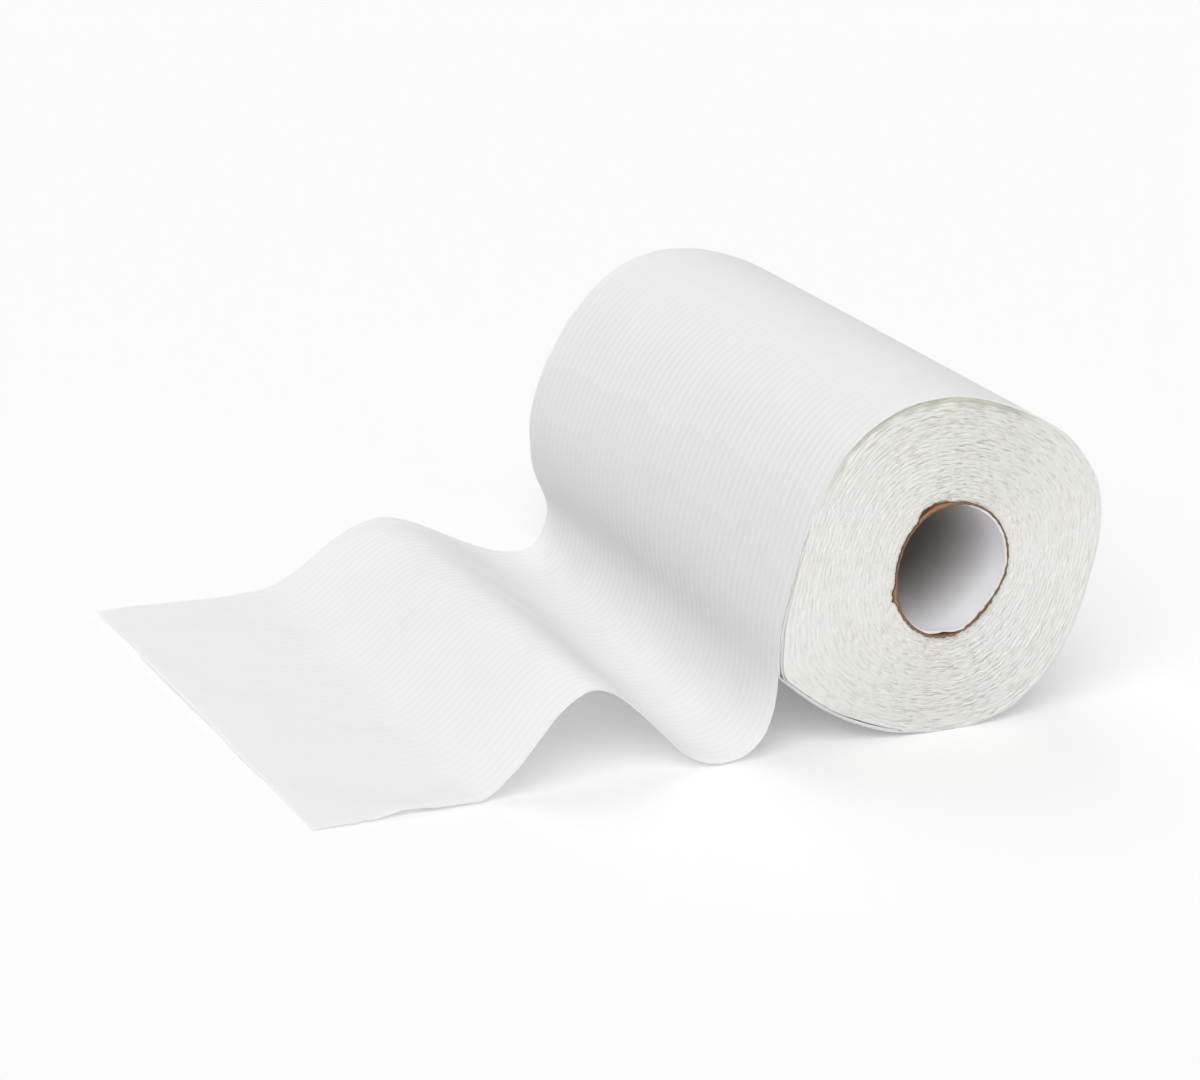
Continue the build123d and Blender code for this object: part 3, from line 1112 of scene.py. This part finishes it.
def makeKraft():
    angle = np.arange(core["columns"]) * 360.0 / core["columns"]
    outside = roll["coreRadius"]
    inside = roll["kraftInside"] + core["plyGap"]
    front = -halfWidth - core["proud"]
    reach = ringCurve(angle, kraftFlap, 2) + core["kraftUneven"] * ringNoise(angle, 81, 14, 80)
    reach = np.clip(reach, 0.05, 3)
    torn = core["kraftTorn"] * ringNoise(angle, 82, 10, 50)
    outer = [coreRow(angle, outside, y) for y in (*core["outsideRows"], -halfWidth + 0.6)]
    lip = [
        (outside + reach, front + 0.3),
        (outside + reach, front),
        (outside + 0.6 * reach, front - 0.1),
        (outside + 0.3 * reach, front - 0.12),
        (inside - overLiner(angle), front),
    ]
    inner = [coreRow(angle, inside, y) for y in core["kraftInsideRows"]]
    rows = outer + lipRows(angle, lip, torn) + inner
    folded = np.clip(2 * (reach - core["foldFrom"]), 0, 1)
    least, more, middle, halfSpan = core["darkLip"]
    darkLip = least + more * ringBump(angle, middle, halfSpan)
    marks = {
        "fold": lipMark(angle, outer, [0, 0, folded, folded, 0.2 * folded], inner),
        "dark": lipMark(angle, outer, [0.85, 0.85, darkLip, 0, 0.6], inner),
    }
    piece = makeRing("kraft_ply", angle, rows, marks, makeKraftMaterial())
    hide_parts("core_outer_ply")


def makeLinerMaterial():
    material, tree, shader = newMaterial("linerPaper", core["linerRoughness"], core["linerGloss"])
    place = objectPlace(tree)
    grain = placeGroup(tree, paperGrain, {"Place": place, **core["linerGrain"]})
    depth = addNode(tree, "ShaderNodeSeparateXYZ", {0: place}).outputs["Y"]
    layers = [
        (grain.outputs["Cloud"], core["linerDuller"]),
        # painted shade deep in the bore
        (spread(tree, depth, *core["linerDeepShadeAt"]), core["linerDeepShade"]),
        (attribute(tree, "pale"), core["linerPale"]),
    ]
    paint(tree, shader, core["linerColour"], layers, grain.outputs["Height"])
    return material


def makeLiner():
    angle = np.arange(core["columns"]) * 360.0 / core["columns"]
    outside = roll["kraftInside"] - core["plyGap"]
    inside = roll["boreRadius"]
    front = -halfWidth - core["proud"] + core["linerBack"]
    reach = ringCurve(angle, linerLip, 6) + core["linerUneven"] * ringNoise(angle, 91, 8, 40)
    reach = np.clip(reach, 0.1, 2)
    torn = core["linerTorn"] * ringNoise(angle, 92, 10, 50)
    distance, middle, halfSpan = core["linerCurl"]
    curled = distance * ringBump(angle, middle, halfSpan)
    shown = linerShown(angle)
    outer = [coreRow(angle, outside, y) for y in core["outsideRows"]]
    lip = [
        (outside - curled, front + 0.3),
        (outside - curled - 0.05, front),
        (inside - reach, front - 0.05),
        (inside - reach, front + 0.35),
        (inside - 0.6 * reach, front + 1.6),
    ]
    inner = [coreRow(angle, inside, y) for y in core["linerInsideRows"]]
    rows = outer + lipRows(angle, lip, torn + core["linerTornBack"] * (1 - shown)) + inner
    pale = lipMark(angle, outer, [shown, shown, shown, shown, 0.3 * shown], inner)
    piece = makeRing("liner_ply", angle, rows, {"pale": pale}, makeLinerMaterial())
    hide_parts("core_inner_ply")


makeKraft()
makeLiner()

# the pale floor and the soft light

studio = {
    "floorHalf": 6000.0,
    "floorColour": (0.97, 0.97, 0.97, 1),
    "floorSeen": (0.79, 0.79, 0.79, 1),  # to the camera the floor glows too, so its shadows stay pale
    "floorGlow": 0.25,
    "skyStrength": 0.05,
    "lampSpread": 45.0,
}

# broad lamps that light from one side each: (name, strength, tilt from overhead, turn towards +X)
lamps = [
    ("keyLamp", 1.95, 45.0, -45.0),
    ("frontLamp", 0.25, 50.0, 20.0),
    ("backLamp", 0.9, 33.0, 180.0),
    ("rightLamp", 0.4, 55.0, 90.0),
    ("topLamp", 0.1, 0.0, 0.0),
    ("leftLamp", 0.26, 78.0, -90.0),
]


def seenStraight(tree):
    # 1 for what the camera sees, straight, in a gloss or through glass
    path = tree.nodes.new("ShaderNodeLightPath")
    seen = mathNode(tree, "MAXIMUM", path.outputs["Is Camera Ray"], path.outputs["Is Glossy Ray"])
    return mathNode(tree, "MAXIMUM", seen, path.outputs["Is Transmission Ray"])


def addStudio():
    half = studio["floorHalf"] * mm
    mesh = bpy.data.meshes.new("floor")
    corners = [(-half, -half, 0), (half, -half, 0), (half, half, 0), (-half, half, 0)]
    mesh.from_pydata(corners, [], [(0, 1, 2, 3)])
    floor = bpy.data.objects.new("floor", mesh)
    bpy.context.scene.collection.objects.link(floor)
    material, tree, shader = newMaterial("paleFloor", 1.0, 0.0)
    shader.inputs["Emission Color"].default_value = (1, 1, 1, 1)
    seen = seenStraight(tree)
    colour = mixColour(tree, seen, studio["floorColour"], studio["floorSeen"])
    tree.links.new(colour, shader.inputs["Base Color"])
    glow = mathNode(tree, "MULTIPLY", seen, studio["floorGlow"])
    tree.links.new(glow, shader.inputs["Emission Strength"])
    mesh.materials.append(material)

    world = bpy.data.worlds.new("studio")
    world.use_nodes = True
    bpy.context.scene.world = world
    sky = world.node_tree.nodes["Background"]
    sky.inputs["Color"].default_value = (1, 1, 1, 1)
    strength = spread(world.node_tree, seenStraight(world.node_tree), 0, 1, studio["skyStrength"], 1.0)
    world.node_tree.links.new(strength, sky.inputs["Strength"])

    for name, strength, tilt, turn in lamps:
        light = bpy.data.lights.new(name, "SUN")
        light.energy = strength
        light.angle = math.radians(studio["lampSpread"])
        lamp = bpy.data.objects.new(name, light)
        lamp.rotation_euler = (math.radians(tilt), 0, math.radians(turn))
        bpy.context.scene.collection.objects.link(lamp)
    bpy.context.scene.view_settings.view_transform = "Standard"
    print("floor and light set")


addStudio()

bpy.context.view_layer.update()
